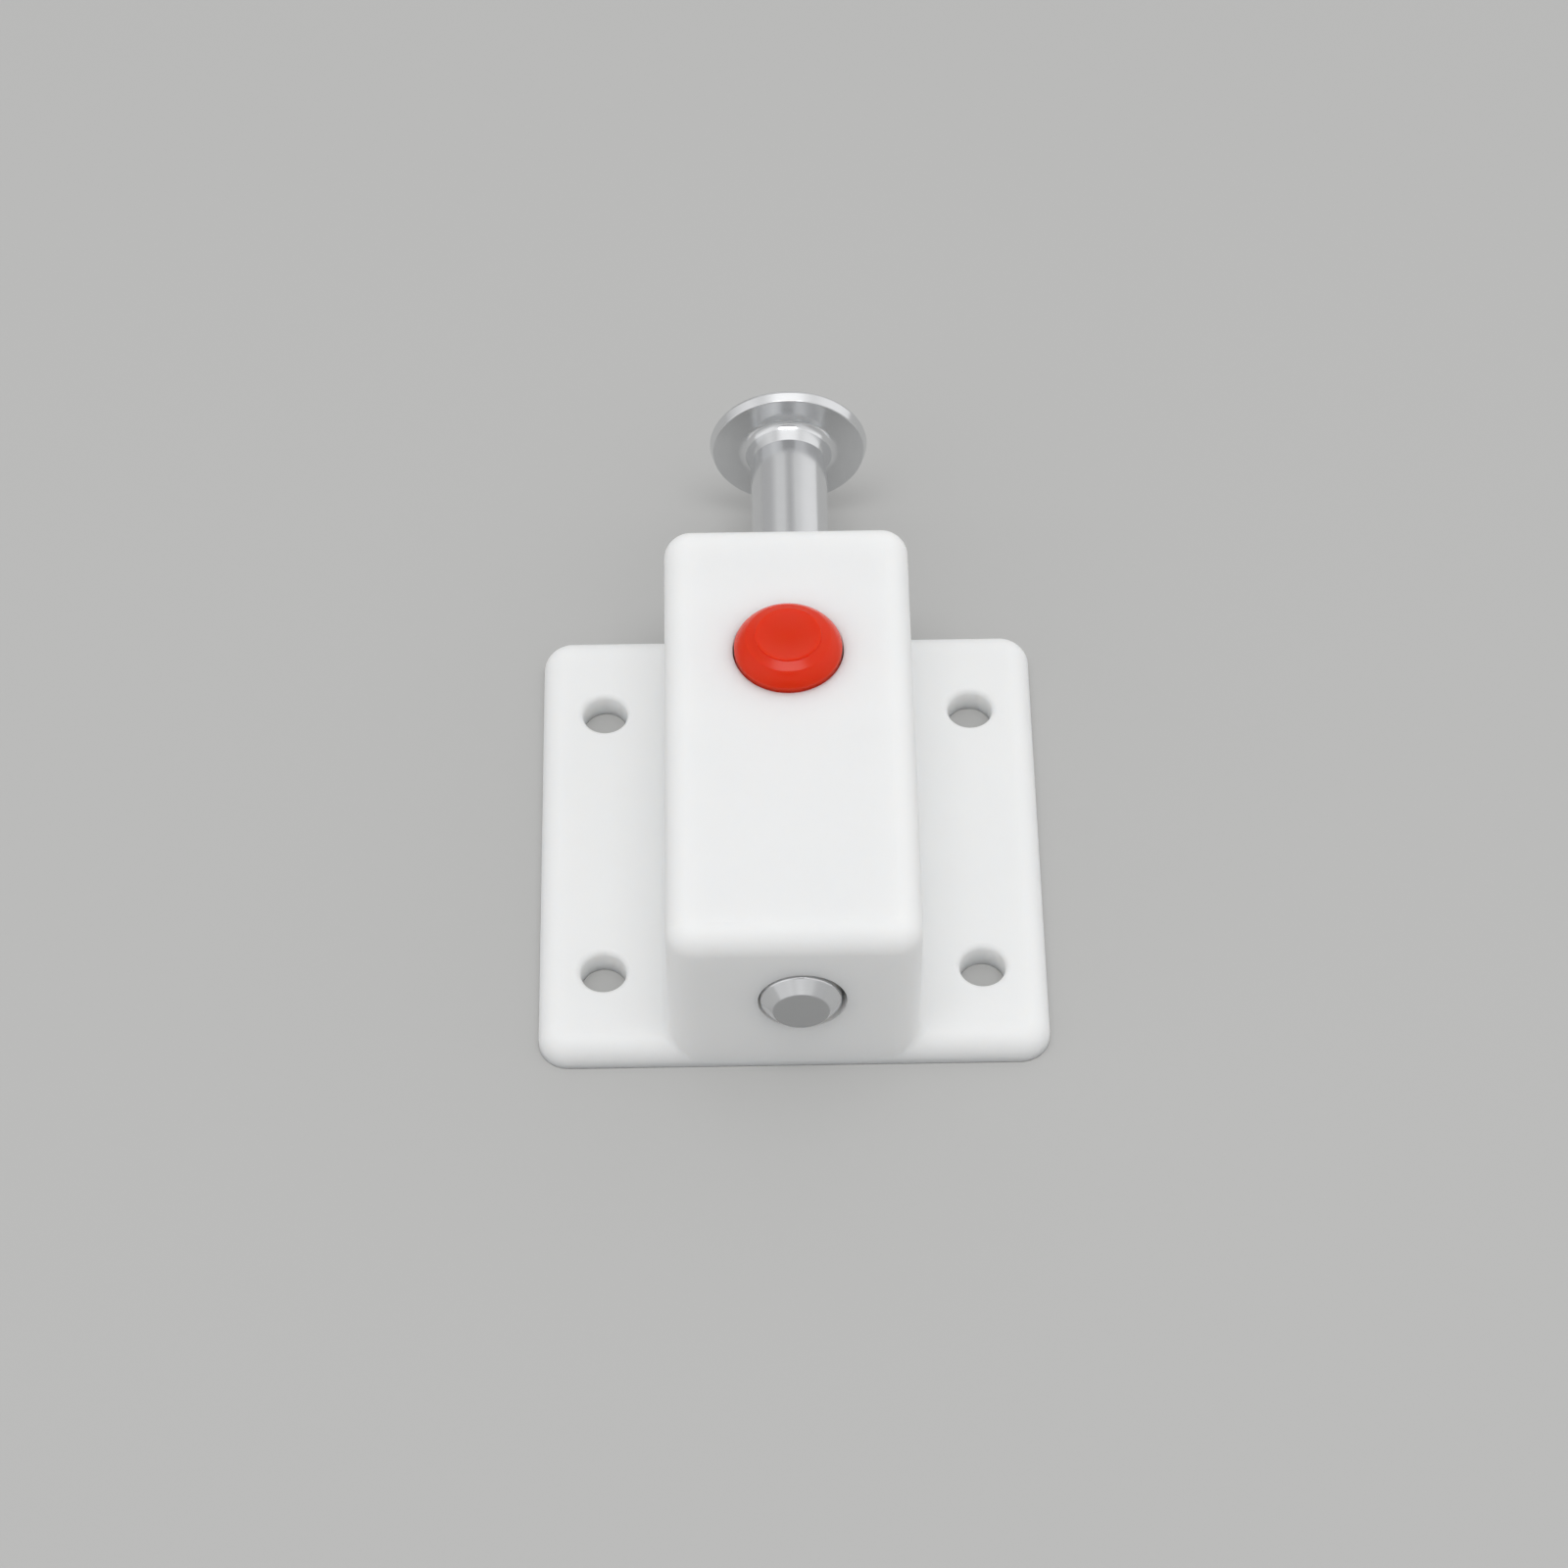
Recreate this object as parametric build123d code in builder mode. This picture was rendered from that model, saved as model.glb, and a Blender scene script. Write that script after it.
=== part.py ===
"""Spring latch: a sprung steel bolt in a moulded housing, held out by a catch and let go by a push button.

Millimetres. The origin is the middle of the four screw holes on the mounting face. +Z points out of that
face, the bolt runs along Y, and its nose points to -Y. The bolt is drawn back, as its spring leaves it.
"""

import os

from build123d import *

# Housing: walls
TOP_WALL = 2.2
SIDE_WALL = 2.5
END_WALL = 3.0
INNER_WALL = 2.0

# Housing: plate and raised body
BODY_WIDTH = 24.5
FLANGE_WIDTH = 12.75
PLATE_THICKNESS = 3.0
PLATE_LENGTH = 51.8
PLATE_EDGE_LAND = 0.8
PLATE_TOP_CORNER = 0.8
BODY_SETBACK = 0.02
BODY_EDGE_RADIUS = 2.4
BODY_TOP_CORNER = 0.3
BODY_ROOT_RADIUS = 0.8
CAVITY_CORNER = 1.0

# Screw holes, in the middle of each flange
SCREW_HOLE_DIAMETER = 4.5
SCREW_HOLE_EDGE_RADIUS = 0.6
SCREW_FRONT_MARGIN = 9.5
SCREW_BACK_MARGIN = 10.2

# Bolt
BOLT_DIAMETER = 7.9
BOLT_CLEARANCE = 0.35
BOLT_OFFSET = 0.6
BORE_SHIFT = 0.15
BOLT_STROKE = 13.5
NOSE_REACH = 1.1
NOSE_CHAMFER = 1.25
NOSE_EDGE_RADIUS = 0.35
NOSE_FACE_RADIUS = 0.15
HEAD_DIAMETER = 16.4
HEAD_THICKNESS = 1.3
HEAD_LAND = 0.45
HEAD_BACK_RADIUS = 0.4
HEAD_RIM_STEP = 0.31
HEAD_RIM_RADIUS = 0.12
HEAD_SPARE = 2.75
NECK_LENGTH = 1.8
NECK_STEP = 0.55
NECK_ROOT_RADIUS = 0.9

# Clip, washer and return spring on the bolt
CLIP_THICKNESS = 0.9
CLIP_GROOVE_DEPTH = 0.95
CLIP_OUTER_DIAMETER = 11.6
CLIP_BAND = 1.2
CLIP_LUG_WIDTH = 2.4
CLIP_MOUTH = 5.4
CLIP_PLAY = 0.05
WASHER_DIAMETER = 12.0
WASHER_THICKNESS = 0.8
WASHER_CLEARANCE = 0.2
SPRING_WIRE = 0.8
SPRING_CLEARANCE = 0.5
SPRING_TURNS = 8.5
SPRING_END_GAP = 0.05

# Push button and its catch
BUTTON_Y = 9.8
BUTTON_HOLE_DIAMETER = 11.0
BUTTON_CLEARANCE = 0.15
BUTTON_SIDE = 0.45
BUTTON_SIDE_RADIUS = 0.4
BUTTON_SLOPE_RUN = 1.13
BUTTON_SLOPE_RISE = 1.38
BUTTON_SLOPE_BULGE = 0.12
BUTTON_SHOULDER_RUN = 0.92
BUTTON_SHOULDER_RISE = 0.4
BUTTON_SHOULDER_RADIUS = 0.6
DISH_LIP_WIDTH = 0.2
DISH_LIP_HEIGHT = 0.18
DISH_LIP_RADIUS = 0.08
DISH_DEPTH = 0.5
SLIDER_LENGTH = 11.6
SLIDER_CLEARANCE = 0.2
SLIDER_SHOULDER = 0.8
PRESS_TRAVEL = 1.5
CATCH_RISE = 1.0
CATCH_SPARE = 0.2
CATCH_LENGTH = 2.4
CATCH_PLAY = 0.3
CATCH_GAP = 0.1
CATCH_BAR = 1.4
WINDOW_CLEARANCE = 0.35

# Button spring
BUTTON_SPRING_WIRE = 0.4
BUTTON_SPRING_DIAMETER = 6.0
BUTTON_SPRING_TURNS = 3.0
BUTTON_SPRING_GAP = 0.05

# Back cover
COVER_THICKNESS = 2.0
COVER_LEDGE = 1.0
COVER_CLEARANCE = 0.1
BAR_FLOOR_GAP = 0.65
WELL_DEPTH = 1.2
WELL_CLEARANCE = 0.3
HOOK_WIDTH = 8.0
HOOK_THICKNESS = 1.2
HOOK_HEIGHT = 4.5
HOOK_BEAD = 0.5
HOOK_CLEARANCE = 0.15
TONGUE_WIDTH = 8.0
TONGUE_LENGTH = 0.8
TONGUE_THICKNESS = 1.0

# How near two places lie to count as one when an edge or corner is looked up
TOUCH = 0.01

# Heights, stacked up from the mounting face
bolt_radius = BOLT_DIAMETER / 2
bar_bottom = COVER_THICKNESS + PRESS_TRAVEL + BAR_FLOOR_GAP
bar_top = bar_bottom + CATCH_BAR
catch_top = bar_top + CATCH_RISE + CATCH_SPARE
bolt_height = catch_top + CATCH_GAP + bolt_radius
window_top = bolt_height + bolt_radius + PRESS_TRAVEL + WINDOW_CLEARANCE
shoulder_top = window_top + SLIDER_SHOULDER
ceiling = shoulder_top + CATCH_RISE + CATCH_SPARE
body_height = ceiling + TOP_WALL

# Plan of the housing
plate_width = BODY_WIDTH + 2 * FLANGE_WIDTH
screw_spacing_x = BODY_WIDTH + FLANGE_WIDTH
screw_spacing_y = PLATE_LENGTH - SCREW_FRONT_MARGIN - SCREW_BACK_MARGIN
front_y = -screw_spacing_y / 2 - SCREW_FRONT_MARGIN
back_y = screw_spacing_y / 2 + SCREW_BACK_MARGIN
plate_middle_y = (front_y + back_y) / 2
body_length = PLATE_LENGTH - 2 * BODY_SETBACK
plate_edge_radius = PLATE_THICKNESS - PLATE_EDGE_LAND
plate_corner_radius = plate_edge_radius + PLATE_TOP_CORNER
body_corner_radius = BODY_EDGE_RADIUS + BODY_TOP_CORNER
cavity_width = BODY_WIDTH - 2 * SIDE_WALL
cavity_length = body_length - 2 * END_WALL
cavity_front_y = front_y + BODY_SETBACK + END_WALL
bore_radius = bolt_radius + BOLT_CLEARANCE

# Pocket of the button's slider, between the two inner walls
pocket_half = SLIDER_LENGTH / 2 + SLIDER_CLEARANCE
stop_wall_y = BUTTON_Y - pocket_half - INNER_WALL
guide_wall_y = BUTTON_Y + pocket_half
wall_bottom = COVER_THICKNESS + COVER_CLEARANCE
wall_height = ceiling + TOP_WALL / 2 - wall_bottom

# Places along the bolt
nose_y = front_y - NOSE_REACH
clip_back_y = stop_wall_y - CLIP_PLAY
clip_front_y = clip_back_y - CLIP_THICKNESS
washer_front_y = clip_front_y - WASHER_THICKNESS
spring_back_y = washer_front_y - SPRING_END_GAP
catch_groove_y = BUTTON_Y + BOLT_STROKE
neck_y = back_y + BOLT_STROKE + HEAD_SPARE
head_y = neck_y + NECK_LENGTH
head_back_y = head_y + HEAD_THICKNESS
clip_groove_radius = bolt_radius - CLIP_GROOVE_DEPTH
catch_groove_radius = bolt_radius - CATCH_RISE
catch_groove_half = CATCH_LENGTH / 2 + CATCH_PLAY
head_radius = HEAD_DIAMETER / 2
head_face_radius = head_radius - HEAD_RIM_STEP
neck_root_radius = bolt_radius + NECK_STEP

# Lugs of the clip, from its groove to the middle of its band
clip_lug_length = CLIP_OUTER_DIAMETER / 2 - CLIP_BAND / 2 - clip_groove_radius
clip_lug_middle = clip_groove_radius + clip_lug_length / 2

# Snap hooks of the cover, in the middle of the spring's chamber
hook_y = (cavity_front_y + stop_wall_y) / 2
hook_face_x = cavity_width / 2 - HOOK_CLEARANCE
hook_top = COVER_THICKNESS + HOOK_HEIGHT
bead_height = hook_top - HOOK_BEAD
cover_width = cavity_width + 2 * COVER_LEDGE
cover_length = cavity_length + 2 * COVER_LEDGE
cover_back_y = plate_middle_y + cover_length / 2
tongue_height = COVER_THICKNESS / 2

# Button cap, window and spring
cap_radius = BUTTON_HOLE_DIAMETER / 2 - BUTTON_CLEARANCE
cap_side_top = body_height + BUTTON_SIDE
cap_slope_top = cap_side_top + BUTTON_SLOPE_RISE
cap_slope_radius = cap_radius - BUTTON_SLOPE_RUN
lip_foot = cap_slope_top + BUTTON_SHOULDER_RISE
lip_radius = cap_slope_radius - BUTTON_SHOULDER_RUN
cap_top = lip_foot + DISH_LIP_HEIGHT
dish_radius = lip_radius - DISH_LIP_WIDTH
window_width = BOLT_DIAMETER + 2 * WINDOW_CLEARANCE
button_spring_radius = (BUTTON_SPRING_DIAMETER - BUTTON_SPRING_WIRE) / 2
well_floor = COVER_THICKNESS - WELL_DEPTH

BOLT_PLANE = Plane(origin=(BOLT_OFFSET, 0, bolt_height), x_dir=(0, 1, 0), z_dir=(1, 0, 0))
BOLT_AXIS = Axis((BOLT_OFFSET, 0, bolt_height), (0, 1, 0))
BUTTON_AXIS = Axis((0, BUTTON_Y, 0), (0, 0, 1))


def across_bolt(y):
    """Plane square to the bolt at the given y, with its origin on the bolt's axis and its normal to -Y."""
    return Plane(origin=(BOLT_OFFSET, y, bolt_height), x_dir=(1, 0, 0), z_dir=(0, -1, 0))


def on_plate_top(edge):
    """True for an edge that lies in the plate's flat top."""
    box = edge.bounding_box()
    return box.min.Z > PLATE_THICKNESS - TOUCH and box.max.Z < PLATE_THICKNESS + TOUCH


def is_screw_rim(edge):
    """True for the round edge of a screw hole in the plate's top."""
    if edge.geom_type != GeomType.CIRCLE or not on_plate_top(edge):
        return False
    return abs(edge.radius - SCREW_HOLE_DIAMETER / 2) < TOUCH


def is_body_root(edge):
    """True for the long straight edge where a side of the body meets the plate."""
    if edge.geom_type != GeomType.LINE or not on_plate_top(edge):
        return False
    return abs(abs(edge.center().X) - BODY_WIDTH / 2) < TOUCH


def corner_at(x, y):
    """Test for the corner of a section at a place in the section's own plane."""

    def is_there(vertex):
        return abs(vertex.X - x) < TOUCH and abs(vertex.Y - y) < TOUCH

    return is_there


# Housing: plate and body in one moulding, hollow from below
with BuildPart() as housing:
    with BuildSketch():
        with Locations((0, plate_middle_y)):
            RectangleRounded(plate_width, PLATE_LENGTH, plate_corner_radius)
    extrude(amount=PLATE_THICKNESS)
    fillet(housing.faces().sort_by(Axis.Z)[-1].edges(), plate_edge_radius)

    with BuildSketch():
        with Locations((0, plate_middle_y)):
            RectangleRounded(BODY_WIDTH, body_length, body_corner_radius)
    extrude(amount=body_height)
    fillet(housing.faces().sort_by(Axis.Z)[-1].edges(), BODY_EDGE_RADIUS)

    # Hollow, with a step round its mouth for the cover
    with BuildSketch():
        with Locations((0, plate_middle_y)):
            RectangleRounded(cavity_width, cavity_length, CAVITY_CORNER)
    extrude(amount=ceiling, mode=Mode.SUBTRACT)
    with BuildSketch():
        with Locations((0, plate_middle_y)):
            RectangleRounded(cover_width, cover_length, CAVITY_CORNER + COVER_LEDGE)
    extrude(amount=COVER_THICKNESS, mode=Mode.SUBTRACT)

    # Inner walls before and behind the button's slider, rooted in the sides and the top
    with Locations((0, stop_wall_y, wall_bottom), (0, guide_wall_y, wall_bottom)):
        Box(
            cavity_width + SIDE_WALL,
            INNER_WALL,
            wall_height,
            align=(Align.CENTER, Align.MIN, Align.MIN),
        )

    # One straight bore through all four walls; the bolt is loose in it and lies low, towards -X
    with BuildSketch(across_bolt(back_y)):
        with Locations((BORE_SHIFT, BORE_SHIFT)):
            Circle(bore_radius)
    extrude(amount=PLATE_LENGTH, mode=Mode.SUBTRACT)

    with Locations((0, BUTTON_Y, body_height)):
        Hole(BUTTON_HOLE_DIAMETER / 2, depth=TOP_WALL)

    # Slots in the side walls for the cover's hooks, and one in the rear wall for its tongue
    with Locations((-cavity_width / 2, hook_y, bead_height), (cavity_width / 2, hook_y, bead_height)):
        Box(
            2 * HOOK_BEAD,
            HOOK_WIDTH + 2 * HOOK_CLEARANCE,
            2 * (HOOK_BEAD + HOOK_CLEARANCE),
            mode=Mode.SUBTRACT,
        )
    with Locations((0, cover_back_y, tongue_height)):
        Box(
            TONGUE_WIDTH + 2 * COVER_CLEARANCE,
            2 * (TONGUE_LENGTH + COVER_CLEARANCE),
            TONGUE_THICKNESS + 2 * COVER_CLEARANCE,
            mode=Mode.SUBTRACT,
        )

    # Screw holes with softened top rims
    with Locations((0, 0, PLATE_THICKNESS)):
        with GridLocations(screw_spacing_x, screw_spacing_y, 2, 2):
            Hole(SCREW_HOLE_DIAMETER / 2, depth=PLATE_THICKNESS)
    fillet(housing.edges().filter_by(is_screw_rim), SCREW_HOLE_EDGE_RADIUS)

    # Soft inside corner where the body rises from the plate
    fillet(housing.edges().filter_by(is_body_root), BODY_ROOT_RADIUS)

housing.part.label = "housing"

# Back cover: snaps into the housing's underside and seats the button's spring
with BuildPart() as back_cover:
    with BuildSketch():
        with Locations((0, plate_middle_y)):
            RectangleRounded(
                cover_width - 2 * COVER_CLEARANCE,
                cover_length - 2 * COVER_CLEARANCE,
                CAVITY_CORNER + COVER_LEDGE - COVER_CLEARANCE,
            )
    extrude(amount=COVER_THICKNESS)
    with Locations((0, BUTTON_Y, COVER_THICKNESS)):
        Hole(button_spring_radius + BUTTON_SPRING_WIRE / 2 + WELL_CLEARANCE, depth=WELL_DEPTH)

    with BuildSketch(Plane.XZ.offset(-hook_y)):
        with BuildLine():
            Polyline(
                (hook_face_x - HOOK_THICKNESS, COVER_THICKNESS),
                (hook_face_x - HOOK_THICKNESS, hook_top),
                (hook_face_x, hook_top),
                (hook_face_x + HOOK_BEAD, bead_height),
                (hook_face_x, bead_height - HOOK_BEAD),
                (hook_face_x, COVER_THICKNESS),
                close=True,
            )
        make_face()
        mirror(about=Plane.YZ)
    extrude(amount=HOOK_WIDTH / 2, both=True)

    with Locations((0, cover_back_y - COVER_CLEARANCE, tongue_height)):
        Box(TONGUE_WIDTH, 2 * TONGUE_LENGTH, TONGUE_THICKNESS)
back_cover.part.label = "back_cover"

# Bolt: turned and headed pin, with a groove for the clip and one for the catch
with BuildPart() as bolt:
    with BuildSketch(BOLT_PLANE) as bolt_section:
        with BuildLine():
            Polyline(
                (neck_y, bolt_radius),
                (catch_groove_y + catch_groove_half, bolt_radius),
                (catch_groove_y + catch_groove_half, catch_groove_radius),
                (catch_groove_y - catch_groove_half, catch_groove_radius),
                (catch_groove_y - catch_groove_half, bolt_radius),
                (clip_back_y + CLIP_PLAY, bolt_radius),
                (clip_back_y + CLIP_PLAY, clip_groove_radius),
                (clip_front_y - CLIP_PLAY, clip_groove_radius),
                (clip_front_y - CLIP_PLAY, bolt_radius),
                (nose_y + NOSE_CHAMFER, bolt_radius),
                (nose_y, bolt_radius - NOSE_CHAMFER),
                (nose_y, 0),
                (head_back_y, 0),
                (head_back_y, head_radius),
                (head_back_y - HEAD_LAND, head_radius),
                (head_y, head_face_radius),
                (head_y, neck_root_radius),
                close=True,
            )
        make_face()
        for x, y, radius in (
            (head_back_y, head_radius, HEAD_BACK_RADIUS),
            (head_y, head_face_radius, HEAD_RIM_RADIUS),
            (head_y, neck_root_radius, NECK_ROOT_RADIUS),
            (nose_y + NOSE_CHAMFER, bolt_radius, NOSE_EDGE_RADIUS),
            (nose_y, bolt_radius - NOSE_CHAMFER, NOSE_FACE_RADIUS),
        ):
            fillet(bolt_section.vertices().filter_by(corner_at(x, y)), radius)
    revolve(axis=BOLT_AXIS)
bolt.part.label = "bolt"

# Retaining clip: ring with three lugs in the bolt's groove, open at the top because it goes on from below
with BuildPart() as retaining_clip:
    with BuildSketch(across_bolt(clip_back_y)):
        Circle(CLIP_OUTER_DIAMETER / 2)
        Circle(CLIP_OUTER_DIAMETER / 2 - CLIP_BAND, mode=Mode.SUBTRACT)
        with PolarLocations(clip_lug_middle, 3, start_angle=-90):
            Rectangle(clip_lug_length, CLIP_LUG_WIDTH)
        Circle(clip_groove_radius + CLIP_PLAY, mode=Mode.SUBTRACT)
        with Locations((0, CLIP_OUTER_DIAMETER / 2)):
            Rectangle(CLIP_MOUTH, CLIP_OUTER_DIAMETER, mode=Mode.SUBTRACT)
    extrude(amount=CLIP_THICKNESS)
retaining_clip.part.label = "retaining_clip"

# Thrust washer between the return spring and the clip
with BuildPart() as thrust_washer:
    with BuildSketch(across_bolt(clip_front_y)):
        Circle(WASHER_DIAMETER / 2)
        Circle(bolt_radius + WASHER_CLEARANCE, mode=Mode.SUBTRACT)
    extrude(amount=WASHER_THICKNESS)
thrust_washer.part.label = "thrust_washer"

# Push button: the cap that shows, the slider round the bolt and the catch bar under it
with BuildPart() as push_button:
    with BuildSketch(Plane.XZ.offset(-BUTTON_Y)) as cap_section:
        with BuildLine():
            TangentArc((0, cap_top - DISH_DEPTH), (dish_radius, cap_top), tangent=(1, 0))
            FilletPolyline(
                (dish_radius, cap_top),
                (lip_radius, cap_top),
                (lip_radius, lip_foot),
                (cap_slope_radius, cap_slope_top),
                radius=DISH_LIP_RADIUS,
            )
            SagittaArc((cap_slope_radius, cap_slope_top), (cap_radius, cap_side_top), BUTTON_SLOPE_BULGE)
            Polyline(
                (cap_radius, cap_side_top),
                (cap_radius, window_top),
                (0, window_top),
                (0, cap_top - DISH_DEPTH),
            )
        make_face()
        for x, y, radius in (
            (cap_slope_radius, cap_slope_top, BUTTON_SHOULDER_RADIUS),
            (cap_radius, cap_side_top, BUTTON_SIDE_RADIUS),
        ):
            fillet(cap_section.vertices().filter_by(corner_at(x, y)), radius)
    revolve(axis=BUTTON_AXIS)
    with Locations((0, BUTTON_Y, bar_bottom)):
        Box(
            cavity_width - 2 * SLIDER_CLEARANCE,
            SLIDER_LENGTH,
            shoulder_top - bar_bottom,
            align=(Align.CENTER, Align.CENTER, Align.MIN),
        )
    with Locations((BOLT_OFFSET, BUTTON_Y, bar_top)):
        Box(
            window_width,
            SLIDER_LENGTH,
            window_top - bar_top,
            align=(Align.CENTER, Align.CENTER, Align.MIN),
            mode=Mode.SUBTRACT,
        )
        Box(
            window_width,
            CATCH_LENGTH,
            catch_top - bar_top,
            align=(Align.CENTER, Align.CENTER, Align.MIN),
        )
push_button.part.label = "push_button"


def coil_spring(foot, along, length, mean_radius, wire, turns):
    """Coil spring with both ends ground flat, standing on foot and rising in the direction along."""
    with BuildPart() as spring:
        with BuildLine() as coil:
            Helix(length / turns, length, mean_radius, center=foot, direction=along)
        with BuildSketch(Plane(origin=coil.line @ 0, z_dir=coil.line % 0)):
            Circle(wire / 2)
        sweep(path=coil.line, is_frenet=True)
        split(bisect_by=Plane(origin=foot, z_dir=along), keep=Keep.TOP)
        split(bisect_by=Plane(origin=foot + along * length, z_dir=along), keep=Keep.BOTTOM)
    return spring


# Return spring round the bolt, from the front wall to the washer
return_spring = coil_spring(
    Vector(BOLT_OFFSET, cavity_front_y, bolt_height),
    Vector(0, 1, 0),
    spring_back_y - cavity_front_y,
    bolt_radius + SPRING_CLEARANCE + SPRING_WIRE / 2,
    SPRING_WIRE,
    SPRING_TURNS,
)
return_spring.part.label = "return_spring"

# Button spring, from the well in the cover to the catch bar
button_spring = coil_spring(
    Vector(0, BUTTON_Y, well_floor),
    Vector(0, 0, 1),
    bar_bottom - BUTTON_SPRING_GAP - well_floor,
    button_spring_radius,
    BUTTON_SPRING_WIRE,
    BUTTON_SPRING_TURNS,
)
button_spring.part.label = "button_spring"

os.makedirs("parts", exist_ok=True)
for piece in (
    housing,
    back_cover,
    bolt,
    retaining_clip,
    thrust_washer,
    return_spring,
    push_button,
    button_spring,
):
    export_step(piece.part, f"parts/{piece.part.label}.step")
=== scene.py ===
"""Looks of a spring latch: moulded plastic, plated steel and drawn wire, two coil springs and a small studio.

Metres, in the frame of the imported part: +Z points out of the mounting face, and the bolt runs along Y
with its nose to -Y.
"""

import logging
import math
from collections.abc import Iterator
from contextlib import contextmanager
from dataclasses import dataclass
from enum import Enum
from typing import Any

import bpy
from mathutils import Matrix, Vector


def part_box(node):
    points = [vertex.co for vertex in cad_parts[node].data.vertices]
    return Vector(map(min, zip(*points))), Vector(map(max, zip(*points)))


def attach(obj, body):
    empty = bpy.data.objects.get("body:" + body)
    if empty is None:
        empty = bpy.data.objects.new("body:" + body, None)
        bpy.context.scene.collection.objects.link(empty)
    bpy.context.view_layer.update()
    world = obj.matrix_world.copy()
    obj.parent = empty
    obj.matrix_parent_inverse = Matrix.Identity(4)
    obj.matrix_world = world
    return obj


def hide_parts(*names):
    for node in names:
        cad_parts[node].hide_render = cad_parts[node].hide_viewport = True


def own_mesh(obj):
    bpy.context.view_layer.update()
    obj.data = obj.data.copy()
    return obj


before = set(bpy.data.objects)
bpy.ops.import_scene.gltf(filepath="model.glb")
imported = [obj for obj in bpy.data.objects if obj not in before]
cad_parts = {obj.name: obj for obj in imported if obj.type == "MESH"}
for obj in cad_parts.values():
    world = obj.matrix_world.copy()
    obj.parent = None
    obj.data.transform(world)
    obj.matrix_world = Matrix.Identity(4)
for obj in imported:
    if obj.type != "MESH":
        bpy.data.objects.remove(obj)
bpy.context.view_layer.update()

LOG = logging.getLogger("spring_latch")
MM = 0.001

# Colour sockets of a Mix node, by number because its other data types have sockets of the same names
MIX_A = 6
MIX_B = 7
MIX_RESULT = 2


class Along(Enum):
    """Direction in which a coil spring works, as the index of its axis."""

    Y = 1
    Z = 2


def linear(colour: str) -> tuple[float, float, float, float]:
    """Turn an sRGB hex colour into linear values.

    Args:
        colour: Six hex digits after a hash sign.

    Returns:
        Linear red, green and blue, and an alpha of one.
    """
    shares = [int(colour[i : i + 2], 16) / 255 for i in (1, 3, 5)]
    red, green, blue = (s / 12.92 if s <= 0.04045 else ((s + 0.055) / 1.055) ** 2.4 for s in shares)
    return red, green, blue, 1.0


def add_node(tree: bpy.types.NodeTree, kind: str, inputs: dict[Any, Any], **settings: Any) -> bpy.types.Node:
    """Add a node, set its options and fill its inputs.

    Args:
        tree: Node tree that takes the node.
        kind: Blender's name of the node.
        inputs: Value or output socket for each input, by the input's name or number.
        **settings: Options of the node.

    Returns:
        The new node.
    """
    node = tree.nodes.new(kind)
    for option, value in settings.items():
        setattr(node, option, value)
    for key, value in inputs.items():
        if isinstance(value, bpy.types.NodeSocket):
            tree.links.new(value, node.inputs[key])
        else:
            node.inputs[key].default_value = value
    return node


def new_material(name: str) -> tuple[bpy.types.Material, bpy.types.NodeTree]:
    """Make an empty node material.

    Args:
        name: Name of the material.

    Returns:
        The material and its node tree.
    """
    material = bpy.data.materials.new(name)
    material.use_nodes = True
    material.node_tree.nodes.clear()
    return material, material.node_tree


@dataclass(frozen=True)
class Grain:
    """Noise pattern whose features have a real size."""

    size_mm: float
    octaves: float
    gain: float = 0.5

    def inputs(self, place: bpy.types.NodeSocket, place_input: str = "Vector") -> dict[str, Any]:
        """List what a noise node needs to draw the pattern.

        Args:
            place: Output socket that gives the place in metres.
            place_input: Input of the noise node that takes the place.

        Returns:
            Value or output socket for each input.
        """
        return {
            place_input: place,
            "Scale": 1.0 / (self.size_mm * MM),
            "Detail": self.octaves,
            "Roughness": self.gain,
        }


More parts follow.
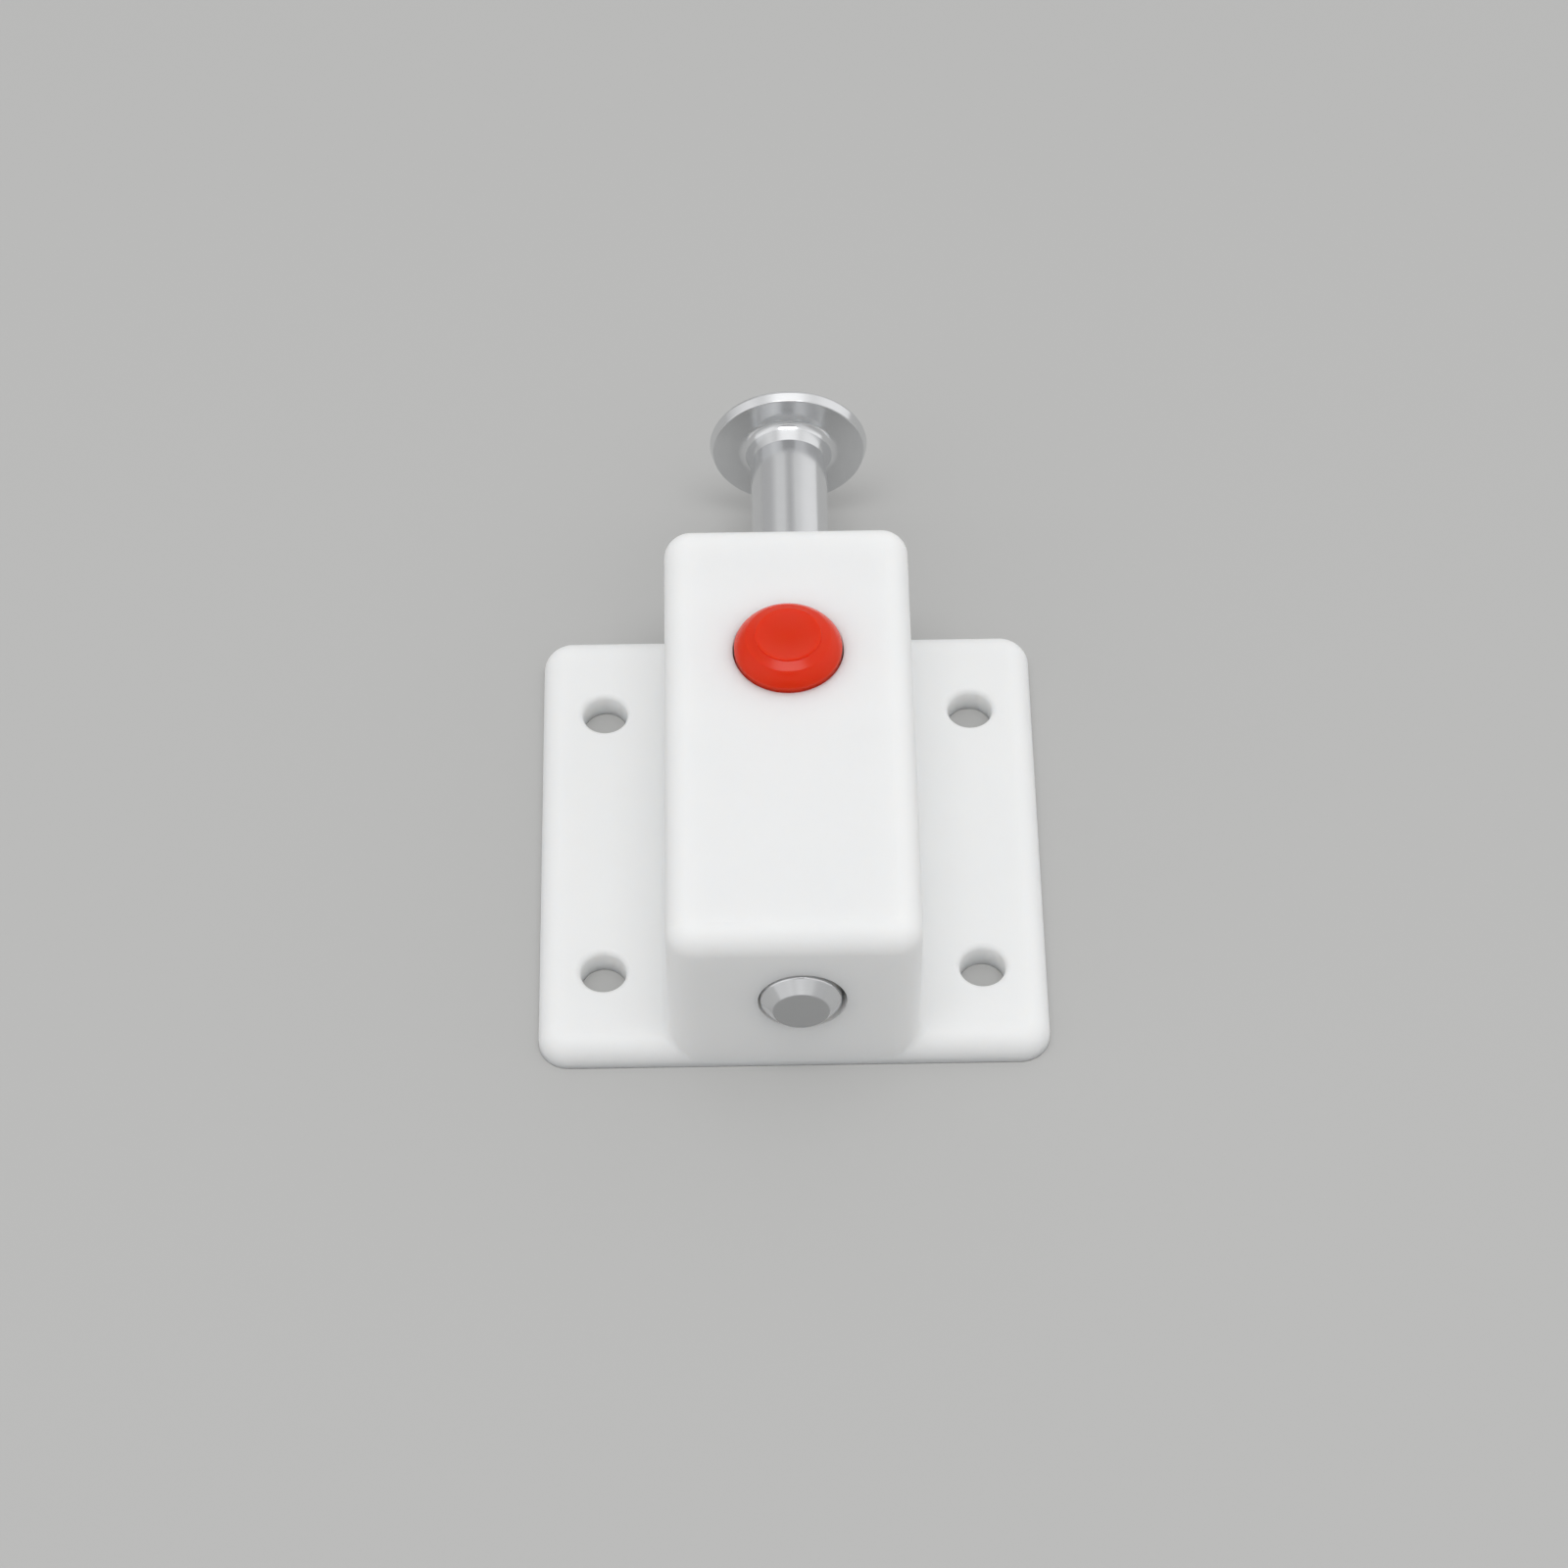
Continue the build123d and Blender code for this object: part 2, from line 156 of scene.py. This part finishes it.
@dataclass(frozen=True)
class MouldedPlastic:
    """Injection-moulded plastic with a satin skin from a spark-eroded mould.

    The eye gets an even colour that clouds a little where the melt flowed, a soft broad highlight that is
    never mirror-sharp, and edges that glow slightly because light enters them.
    """

    name: str
    colour: str
    cloud_colour: str
    depth_mm: tuple[float, float, float]
    translucency: float
    roughness: float
    specular: float
    cloud: Grain = Grain(14.0, octaves=3.0, gain=0.55)
    sheen: Grain = Grain(3.0, octaves=4.0, gain=0.6)
    sheen_spread: float = 0.05
    # The real grit is about 0.05 mm, too fine to show, so it is drawn coarser and lower
    grit: Grain = Grain(0.22, octaves=2.0)
    grit_height_mm: float = 0.004
    sink: Grain = Grain(9.0, octaves=1.0, gain=0.4)
    sink_height_mm: float = 0.02
    ior: float = 1.48

    def material(self) -> bpy.types.Material:
        """Build the material.

        Returns:
            A material that reads the piece's own object coordinates.
        """
        made, tree = new_material(self.name)
        place = add_node(tree, "ShaderNodeTexCoord", {}).outputs["Object"]
        cloud = add_node(tree, "ShaderNodeTexNoise", self.cloud.inputs(place))
        colour = add_node(
            tree,
            "ShaderNodeMix",
            {"Factor": cloud.outputs["Fac"], MIX_A: linear(self.colour), MIX_B: linear(self.cloud_colour)},
            data_type="RGBA",
        )
        sheen = add_node(tree, "ShaderNodeTexNoise", self.sheen.inputs(place))
        rough = add_node(
            tree,
            "ShaderNodeMapRange",
            {
                "Value": sheen.outputs["Fac"],
                "To Min": self.roughness - self.sheen_spread,
                "To Max": self.roughness + self.sheen_spread,
            },
        )
        sink = add_node(tree, "ShaderNodeTexNoise", self.sink.inputs(place))
        waves = add_node(
            tree,
            "ShaderNodeBump",
            {"Height": sink.outputs["Fac"], "Distance": self.sink_height_mm * MM, "Strength": 1.0},
        )
        grit = add_node(tree, "ShaderNodeTexNoise", self.grit.inputs(place))
        skin = add_node(
            tree,
            "ShaderNodeBump",
            {
                "Height": grit.outputs["Fac"],
                "Distance": self.grit_height_mm * MM,
                "Strength": 1.0,
                "Normal": waves.outputs["Normal"],
            },
        )
        surface = add_node(
            tree,
            "ShaderNodeBsdfPrincipled",
            {
                "Base Color": colour.outputs[MIX_RESULT],
                "Roughness": rough.outputs["Result"],
                "Normal": skin.outputs["Normal"],
                "IOR": self.ior,
                "Specular IOR Level": self.specular,
                "Subsurface Weight": self.translucency,
                "Subsurface Radius": self.depth_mm,
                "Subsurface Scale": MM,
            },
        )
        add_node(tree, "ShaderNodeOutputMaterial", {"Surface": surface.outputs["BSDF"]})
        return made


@dataclass(frozen=True)
class PlatedSteel:
    """Turned steel with bright zinc plating.

    The eye gets near-mirror reflections drawn out a little by fine tool rings: they run round the shank and
    round the flat ends, and the plating clouds them slightly. The nose's end face is painted a darker grey,
    a painted shade that stands for the shaded floor which this face mirrors.
    """

    name: str
    colour: str
    cloud_colour: str
    roughness: float
    axis_x: float
    axis_z: float
    nose_y: float
    # Painted shade: a darker grey for the nose's end face, standing for the shaded floor that it mirrors
    nose_painted_shade_colour: str
    nose_shade_depth_mm: float = 0.12
    bright_share: float = 0.7
    dull_share: float = 1.8
    # Real tool rings are about 0.08 mm apart, too fine to show, so they are drawn coarser
    ring: Grain = Grain(0.16, octaves=3.0, gain=0.6)
    ring_height_mm: float = 0.0006
    cloud: Grain = Grain(3.5, octaves=5.0, gain=0.6)
    speck: Grain = Grain(0.35, octaves=2.0)
    speck_height_mm: float = 0.0008

    def material(self) -> bpy.types.Material:
        """Build the material.

        Returns:
            A material whose rings are centred on the bolt's axis.
        """
        made, tree = new_material(self.name)
        place = add_node(tree, "ShaderNodeTexCoord", {}).outputs["Object"]
        centred = add_node(
            tree,
            "ShaderNodeMapping",
            {"Vector": place, "Location": (-self.axis_x, 0.0, -self.axis_z)},
        )
        split = add_node(tree, "ShaderNodeSeparateXYZ", {0: centred.outputs["Vector"]})
        flat = add_node(tree, "ShaderNodeCombineXYZ", {"X": split.outputs["X"], "Z": split.outputs["Z"]})
        radius = add_node(tree, "ShaderNodeVectorMath", {0: flat.outputs["Vector"]}, operation="LENGTH")
        # On the shank the radius is constant and on the flats the length is, so their sum rings both
        along = add_node(
            tree,
            "ShaderNodeMath",
            {0: split.outputs["Y"], 1: radius.outputs["Value"]},
            operation="ADD",
        )
        rings = add_node(
            tree,
            "ShaderNodeTexNoise",
            self.ring.inputs(along.outputs["Value"], "W"),
            noise_dimensions="1D",
        )
        cloud = add_node(tree, "ShaderNodeTexNoise", self.cloud.inputs(place))
        colour = add_node(
            tree,
            "ShaderNodeMix",
            {"Factor": cloud.outputs["Fac"], MIX_A: linear(self.colour), MIX_B: linear(self.cloud_colour)},
            data_type="RGBA",
        )
        # Painted shade: this mask mixes the nose's end face towards the darker grey, standing for the shaded
        # floor it mirrors
        cut = add_node(
            tree,
            "ShaderNodeMapRange",
            {
                "Value": split.outputs["Y"],
                "From Min": self.nose_y,
                "From Max": self.nose_y + self.nose_shade_depth_mm * MM,
                "To Min": 1.0,
                "To Max": 0.0,
            },
        )
        colour_with_painted_shade = add_node(
            tree,
            "ShaderNodeMix",
            {
                "Factor": cut.outputs["Result"],
                MIX_A: colour.outputs[MIX_RESULT],
                MIX_B: linear(self.nose_painted_shade_colour),
            },
            data_type="RGBA",
        )
        blend = add_node(
            tree,
            "ShaderNodeMath",
            {0: rings.outputs["Fac"], 1: cloud.outputs["Fac"]},
            operation="MULTIPLY",
        )
        rough = add_node(
            tree,
            "ShaderNodeMapRange",
            {
                "Value": blend.outputs["Value"],
                "To Min": self.roughness * self.bright_share,
                "To Max": self.roughness * self.dull_share,
            },
        )
        specks = add_node(tree, "ShaderNodeTexNoise", self.speck.inputs(place))
        plating = add_node(
            tree,
            "ShaderNodeBump",
            {"Height": specks.outputs["Fac"], "Distance": self.speck_height_mm * MM, "Strength": 1.0},
        )
        turned = add_node(
            tree,
            "ShaderNodeBump",
            {
                "Height": rings.outputs["Fac"],
                "Distance": self.ring_height_mm * MM,
                "Strength": 1.0,
                "Normal": plating.outputs["Normal"],
            },
        )
        surface = add_node(
            tree,
            "ShaderNodeBsdfPrincipled",
            {
                "Base Color": colour_with_painted_shade.outputs[MIX_RESULT],
                "Metallic": 1.0,
                "Roughness": rough.outputs["Result"],
                "Normal": turned.outputs["Normal"],
            },
        )
        add_node(tree, "ShaderNodeOutputMaterial", {"Surface": surface.outputs["BSDF"]})
        return made


@dataclass(frozen=True)
class SpringSteel:
    """Drawn spring wire and stamped spring strip, left plain.

    The eye gets a darker grey metal with faint smears of drawing soap and a soft, slightly broken highlight.
    """

    name: str
    colour: str
    soap_colour: str
    roughness: float
    bright_share: float = 0.8
    dull_share: float = 1.3
    soap: Grain = Grain(1.6, octaves=4.0, gain=0.65)
    scratch: Grain = Grain(0.12, octaves=2.0)
    scratch_height_mm: float = 0.001

    def material(self) -> bpy.types.Material:
        """Build the material.

        Returns:
            A material that reads the piece's own object coordinates.
        """
        made, tree = new_material(self.name)
        place = add_node(tree, "ShaderNodeTexCoord", {}).outputs["Object"]
        soap = add_node(tree, "ShaderNodeTexNoise", self.soap.inputs(place))
        colour = add_node(
            tree,
            "ShaderNodeMix",
            {"Factor": soap.outputs["Fac"], MIX_A: linear(self.colour), MIX_B: linear(self.soap_colour)},
            data_type="RGBA",
        )
        rough = add_node(
            tree,
            "ShaderNodeMapRange",
            {
                "Value": soap.outputs["Fac"],
                "To Min": self.roughness * self.bright_share,
                "To Max": self.roughness * self.dull_share,
            },
        )
        scratch = add_node(tree, "ShaderNodeTexNoise", self.scratch.inputs(place))
        drawn = add_node(
            tree,
            "ShaderNodeBump",
            {"Height": scratch.outputs["Fac"], "Distance": self.scratch_height_mm * MM, "Strength": 1.0},
        )
        surface = add_node(
            tree,
            "ShaderNodeBsdfPrincipled",
            {
                "Base Color": colour.outputs[MIX_RESULT],
                "Metallic": 1.0,
                "Roughness": rough.outputs["Result"],
                "Normal": drawn.outputs["Normal"],
            },
        )
        add_node(tree, "ShaderNodeOutputMaterial", {"Surface": surface.outputs["BSDF"]})
        return made


Finish = MouldedPlastic | PlatedSteel | SpringSteel


def pick(*objects: bpy.types.Object) -> None:
    """Leave only these objects selected, the first of them active."""
    bpy.ops.object.select_all(action="DESELECT")
    for obj in objects:
        obj.select_set(True)
    bpy.context.view_layer.objects.active = objects[0]


@contextmanager
def editing(obj: bpy.types.Object) -> Iterator[None]:
    """Stay in edit mode on one object, with all of it selected.

    Args:
        obj: Mesh object to edit.
    """
    pick(obj)
    bpy.ops.object.mode_set(mode="EDIT")
    bpy.ops.mesh.select_all(action="SELECT")
    yield
    bpy.ops.object.mode_set(mode="OBJECT")


def apply_modifier(obj: bpy.types.Object, kind: str, **settings: Any) -> None:
    """Add a modifier and apply it.

    Args:
        obj: Mesh object to change.
        kind: Blender's name of the modifier.
        **settings: Options of the modifier.
    """
    pick(obj)
    modifier = obj.modifiers.new(kind.title(), kind)
    for option, value in settings.items():
        setattr(modifier, option, value)
    bpy.ops.object.modifier_apply(modifier=modifier.name)


def dress(node: str, finish: Finish) -> None:
    """Give a CAD node a finish.

    Args:
        node: Name of the node.
        finish: Finish for all of its surface.
    """
    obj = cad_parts[node]
    obj.material_slots[0].material = finish.material()
    LOG.info("%s dressed in %s", node, finish.name)


@dataclass
class CoilSpring:
    """Compression spring of round wire whose end turns lie closed and are ground flat.

    Its length, its outer diameter and its place come from the CAD node that it stands for.
    """

    node: str
    body: str
    joint: str
    along: Along
    wire: float
    active_turns: float
    finish: SpringSteel
    end_turns: float = 1.0
    end_pitch_share: float = 1.04
    steps_per_turn: int = 48
    wire_sides: int = 16
    cut_gap: float = 0.0001 * MM
    weld_gap: float = 0.01 * MM
    sharp_deg: float = 40.0

    def build(self) -> bpy.types.Object:
        """Model the coil and put it in its seat.

        Returns:
            The finished piece.
        """
        low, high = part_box(self.node)
        size = high - low
        length = size[self.along.value]
        mean_radius = (size.x - self.wire) / 2
        end_pitch = self.wire * self.end_pitch_share
        active_pitch = (length - 2 * self.end_turns * end_pitch) / self.active_turns
        stretches = (
            (self.end_turns, end_pitch),
            (self.active_turns, active_pitch),
            (self.end_turns, end_pitch),
        )
        turned = 0.0
        rise = 0.0
        swept = []
        for turns, pitch in stretches:
            swept.append(self.sweep(mean_radius, turned, rise, turns, pitch))
            turned += turns
            rise += turns * pitch
        coil = self.join(swept)
        self.grind(coil, 0.0, keep_above=True)
        self.grind(coil, length, keep_above=False)
        self.seat(coil, low, high)
        bpy.ops.object.shade_smooth_by_angle(angle=math.radians(self.sharp_deg))
        coil.data.materials.append(self.finish.material())
        self.fit(coil)
        LOG.info("%s modelled: %.1f turns over %.2f mm", coil.name, turned, length / MM)
        return coil

    def sweep(
        self, mean_radius: float, turned: float, rise: float, turns: float, pitch: float
    ) -> bpy.types.Object:
        """Sweep the wire's section along a stretch of even pitch, standing on the origin.

        Args:
            mean_radius: Radius at the middle of the wire.
            turned: Turns already made below this stretch.
            rise: Height at which the stretch starts.
            turns: Turns of this stretch.
            pitch: Rise of one turn.

        Returns:
            The stretch of wire, open at both ends.
        """
        angle = 2 * math.pi * turned
        start = Vector((mean_radius * math.cos(angle), mean_radius * math.sin(angle), rise))
        bpy.ops.object.select_all(action="DESELECT")
        bpy.ops.mesh.primitive_circle_add(
            vertices=self.wire_sides,
            radius=self.wire / 2,
            location=start,
            rotation=(math.pi / 2, 0.0, angle),
        )
        wire = bpy.context.active_object
        bpy.ops.object.transform_apply(location=True, rotation=True, scale=True)
        steps = round(self.steps_per_turn * turns)
        apply_modifier(
            wire,
            "SCREW",
            angle=2 * math.pi * turns,
            screw_offset=pitch * turns,
            steps=steps,
            render_steps=steps,
            use_merge_vertices=False,
        )
        return wire

    def join(self, stretches: list[bpy.types.Object]) -> bpy.types.Object:
        """Weld the stretches into one closed wire with its faces outwards.

        Args:
            stretches: Stretches of wire that meet end to end.

        Returns:
            The joined wire.
        """
        pick(*stretches)
        bpy.ops.object.join()
        coil = bpy.context.active_object
        coil.name = f"{self.node}_coil"
        with editing(coil):
            bpy.ops.mesh.remove_doubles(threshold=self.weld_gap)
            bpy.ops.mesh.fill_holes(sides=0)
            bpy.ops.mesh.select_all(action="SELECT")
            bpy.ops.mesh.normals_make_consistent(inside=False)
        return coil

    def grind(self, coil: bpy.types.Object, height: float, keep_above: bool) -> None:
        """Cut one end flat and close the cut.

        Args:
            coil: Coil that stands on the origin.
            height: Height of the cut.
            keep_above: True to keep what is above the cut, False to keep what is below.
        """
        with editing(coil):
            bpy.ops.mesh.bisect(
                plane_co=(0.0, 0.0, height),
                plane_no=(0.0, 0.0, 1.0),
                use_fill=True,
                threshold=self.cut_gap,
                clear_inner=keep_above,
                clear_outer=not keep_above,
            )

    def seat(self, coil: bpy.types.Object, low: Vector, high: Vector) -> None:
        """Turn the coil to its axis and move it into the seat that its node has.

        Args:
            coil: Coil that stands on the origin.
            low: Lowest corner of the node's box.
            high: Highest corner of the node's box.
        """
        foot = (low + high) / 2
        foot[self.along.value] = low[self.along.value]
        pick(coil)
        coil.location = foot
        if self.along is Along.Y:
            coil.rotation_euler = (-math.pi / 2, 0.0, 0.0)
        bpy.ops.object.transform_apply(location=True, rotation=True, scale=True)

    def fit(self, coil: bpy.types.Object) -> None:
        """Let the coil stand for its node: hang it on its body and hide the node.

        Args:
            coil: Finished coil.
        """
        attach(coil, self.body)
        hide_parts(self.node)
        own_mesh(coil)


@dataclass
class Housing:
    """White moulded housing with its plate, and the cover snapped into its underside."""

    plastic: MouldedPlastic

    def build(self) -> None:
        """Dress both mouldings."""
        dress("housing", self.plastic)
        dress("back_cover", self.plastic)


@dataclass
class BoltSet:
    """Steel bolt with its clip, washer and return spring."""

    steel: PlatedSteel
    strip: SpringSteel
    spring: CoilSpring

    def build(self) -> None:
        """Dress the bolt's pieces and model its spring."""
        dress("bolt", self.steel)
        dress("thrust_washer", self.steel)
        dress("retaining_clip", self.strip)
        self.spring.build()


@dataclass
class ButtonSet:
    """Red push button with its slider, and the spring under it."""

    plastic: MouldedPlastic
    spring: CoilSpring

    def build(self) -> None:
        """Dress the button and model its spring."""
        dress("push_button", self.plastic)
        self.spring.build()


@dataclass(frozen=True)
class Softbox:
    """Rectangular studio light that looks at the latch."""

    name: str
    place: tuple[float, float, float]
    width: float
    height: float
    power: float

    def build(self, target: Vector) -> None:
        """Hang the light and aim it.

        Args:
            target: Point that the light looks at.
        """
        place = Vector(self.place)
        bpy.ops.object.light_add(type="AREA", location=place)
        lamp = bpy.context.active_object
        lamp.name = self.name
        lamp.rotation_euler = (target - place).to_track_quat("-Z", "Y").to_euler()
        lamp.data.shape = "RECTANGLE"
        lamp.data.size = self.width
        lamp.data.size_y = self.height
        lamp.data.energy = self.power
        lamp.visible_camera = False


@dataclass(frozen=True)
class TentPatch:
    """Soft-edged patch of the light tent that is lighter or darker than the rest."""

    towards: tuple[float, float, float]
    full_deg: float
    edge_deg: float
    change: float

    def add(self, tree: bpy.types.NodeTree, ray: bpy.types.NodeSocket, level: Any) -> bpy.types.NodeSocket:
        """Add the patch to a level of light.

        Args:
            tree: Node tree of the world.
            ray: Direction that is looked up.
            level: Level without the patch, a number or an output socket.

        Returns:
            The level with the patch.
        """
        nearness = add_node(
            tree,
            "ShaderNodeVectorMath",
            {0: ray, 1: Vector(self.towards).normalized()},
            operation="DOT_PRODUCT",
        )
        patch = add_node(
            tree,
            "ShaderNodeMapRange",
            {
                "Value": nearness.outputs["Value"],
                "From Min": math.cos(math.radians(self.edge_deg)),
                "From Max": math.cos(math.radians(self.full_deg)),
                "To Max": self.change,
            },
            interpolation_type="SMOOTHSTEP",
        )
        total = add_node(tree, "ShaderNodeMath", {0: level, 1: patch.outputs["Result"]}, operation="ADD")
        return total.outputs["Value"]


@dataclass
class Studio:
    """Pale floor, a light tent, a soft lamp and the camera at the photograph's viewing angle."""

    softbox: Softbox
    patches: tuple[TentPatch, ...]
    tent_colour: str = "#FEFEFE"
    tent_level: float = 0.69
    floor_colour: str = "#BCBCBB"
    floor_roughness: float = 0.85
    floor_specular: float = 0.2
    floor_radius: float = 3.0
    floor_sides: int = 128
    floor_gap: float = 0.02 * MM
    target: tuple[float, float, float] = (-0.489 * MM, 8.927 * MM, 0.0)
    distance: float = 494.837 * MM
    azimuth_deg: float = -0.730
    elevation_deg: float = 52.804
    roll_deg: float = -0.286
    sensor_mm: float = 36.0
    image_px: float = 1600.0
    focal_px: float = 4959.83

    def build(self) -> None:
        """Set up the floor, the world, the lamp and the camera."""
        self.lay_floor()
        self.light_world()
        self.softbox.build(Vector(self.target))
        self.place_camera()
        bpy.context.scene.view_settings.view_transform = "Standard"

    def lay_floor(self) -> None:
        """Lay a round floor just under the mounting face."""
        bpy.ops.object.select_all(action="DESELECT")
        bpy.ops.mesh.primitive_circle_add(
            vertices=self.floor_sides,
            radius=self.floor_radius,
            fill_type="NGON",
            location=(0.0, 0.0, -self.floor_gap),
        )
        floor = bpy.context.active_object
        floor.name = "floor"
        material, tree = new_material("pale_floor")
        surface = add_node(
            tree,
            "ShaderNodeBsdfPrincipled",
            {
                "Base Color": linear(self.floor_colour),
                "Roughness": self.floor_roughness,
                "Specular IOR Level": self.floor_specular,
            },
        )
        add_node(tree, "ShaderNodeOutputMaterial", {"Surface": surface.outputs["BSDF"]})
        floor.data.materials.append(material)

    def light_world(self) -> None:
        """Stand a light tent round the latch."""
        world = bpy.data.worlds.new("studio")
        bpy.context.scene.world = world
        world.use_nodes = True
        tree = world.node_tree
        tree.nodes.clear()
        ray = add_node(tree, "ShaderNodeTexCoord", {}).outputs["Generated"]
        level: Any = self.tent_level
        for patch in self.patches:
            level = patch.add(tree, ray, level)
        tent = add_node(
            tree, "ShaderNodeBackground", {"Color": linear(self.tent_colour), "Strength": level}
        )
        add_node(tree, "ShaderNodeOutputWorld", {"Surface": tent.outputs["Background"]})

    def place_camera(self) -> None:
        """Stand the camera where the photograph was taken from."""
        azimuth = math.radians(self.azimuth_deg)
        elevation = math.radians(self.elevation_deg)
        roll = math.radians(self.roll_deg)
        back = Vector(
            (
                math.sin(azimuth) * math.cos(elevation),
                -math.cos(azimuth) * math.cos(elevation),
                math.sin(elevation),
            )
        )
        right = Vector((math.cos(azimuth), math.sin(azimuth), 0.0))
        up = back.cross(right)
        turned_right = right * math.cos(roll) + up * math.sin(roll)
        turned_up = up * math.cos(roll) - right * math.sin(roll)
        bpy.ops.object.camera_add()
        camera = bpy.context.active_object
        camera.name = "camera"
        camera.data.sensor_width = self.sensor_mm
        camera.data.lens = self.focal_px / self.image_px * self.sensor_mm
        turn = Matrix((turned_right, turned_up, back)).transposed()
        camera.matrix_world = (
            Matrix.Translation(Vector(self.target) + back * self.distance) @ turn.to_4x4()
        )
        bpy.context.scene.camera = camera


WHITE_PLASTIC = MouldedPlastic(
    name="white_moulded_acetal",
    colour="#F5F5F4",
    cloud_colour="#F0F1F1",
    depth_mm=(3.6, 3.4, 3.2),
    translucency=0.7,
    roughness=0.5,
    specular=0.2,
)
RED_PLASTIC = MouldedPlastic(
    name="red_moulded_acetal",
    colour="#DE330B",
    cloud_colour="#D92F09",
    depth_mm=(3.2, 0.4, 0.2),
    translucency=0.75,
    roughness=0.24,
    specular=0.25,
    grit=Grain(0.18, octaves=2.0),
    grit_height_mm=0.003,
    sink_height_mm=0.01,
)
WIRE = SpringSteel(name="drawn_spring_wire", colour="#A6A7A9", soap_colour="#8D8E90", roughness=0.28)
STRIP = SpringSteel(name="stamped_spring_strip", colour="#8F9092", soap_colour="#7A7B7D", roughness=0.34)
OVERHEAD = Softbox(name="overhead_softbox", place=(0.0, -0.14, 0.8), width=0.55, height=0.2, power=1.45)
TENT_PATCHES = (
    # Lighter overhead and on both sides
    TentPatch(towards=(0.0, -0.05, 1.0), full_deg=10.0, edge_deg=38.0, change=0.38),
    TentPatch(towards=(0.85, 0.3, 0.4), full_deg=15.0, edge_deg=45.0, change=0.2),
    TentPatch(towards=(0.9, -0.3, 0.4), full_deg=15.0, edge_deg=45.0, change=0.1),
    TentPatch(towards=(-0.9, -0.35, 0.4), full_deg=15.0, edge_deg=45.0, change=0.3),
    # Darker opening in front, which the bolt's neck and head mirror, and a light strip below it
    TentPatch(towards=(0.0, -0.604, 0.797), full_deg=13.0, edge_deg=17.0, change=-0.36),
    TentPatch(towards=(0.0, -0.82, 0.57), full_deg=4.0, edge_deg=14.0, change=0.16),
    TentPatch(towards=(0.0, -0.946, 0.323), full_deg=10.0, edge_deg=15.0, change=-0.15),
    # Darker low down in front, which shades the housing's front
    TentPatch(towards=(0.0, -1.0, 0.0), full_deg=15.0, edge_deg=32.0, change=-0.35),
    TentPatch(towards=(-0.7, -0.7, 0.0), full_deg=15.0, edge_deg=35.0, change=-0.25),
    TentPatch(towards=(0.7, -0.7, 0.0), full_deg=15.0, edge_deg=35.0, change=-0.25),
    # Darker behind, which draws the lines along the shank
    TentPatch(towards=(0.01, 0.604, 0.797), full_deg=9.0, edge_deg=12.0, change=-0.24),
    TentPatch(towards=(-0.85, 0.5, 0.15), full_deg=12.0, edge_deg=38.0, change=-0.22),
)


def build_latch() -> None:
    """Build the latch's looks and the studio, and report each piece."""
    logging.basicConfig(level=logging.INFO, format="%(name)s: %(message)s")
    low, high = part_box("bolt")
    axis = (low + high) / 2
    steel = PlatedSteel(
        name="zinc_plated_steel",
        colour="#E6E7E8",
        cloud_colour="#DEDFE1",
        roughness=0.18,
        axis_x=axis.x,
        axis_z=axis.z,
        nose_y=low.y,
        # Painted shade on the nose's end face
        nose_painted_shade_colour="#BEBFC0",
    )
    return_spring = CoilSpring(
        node="return_spring",
        body="housing",
        joint="bolt_slide",
        along=Along.Y,
        wire=0.8 * MM,
        active_turns=6.5,
        finish=WIRE,
    )
    button_spring = CoilSpring(
        node="button_spring",
        body="housing",
        joint="button_press",
        along=Along.Z,
        wire=0.4 * MM,
        active_turns=2.0,
        finish=WIRE,
    )
    for assembly in (
        Housing(WHITE_PLASTIC),
        BoltSet(steel, STRIP, return_spring),
        ButtonSet(RED_PLASTIC, button_spring),
        Studio(OVERHEAD, TENT_PATCHES),
    ):
        assembly.build()


if __name__ == "__main__":
    build_latch()
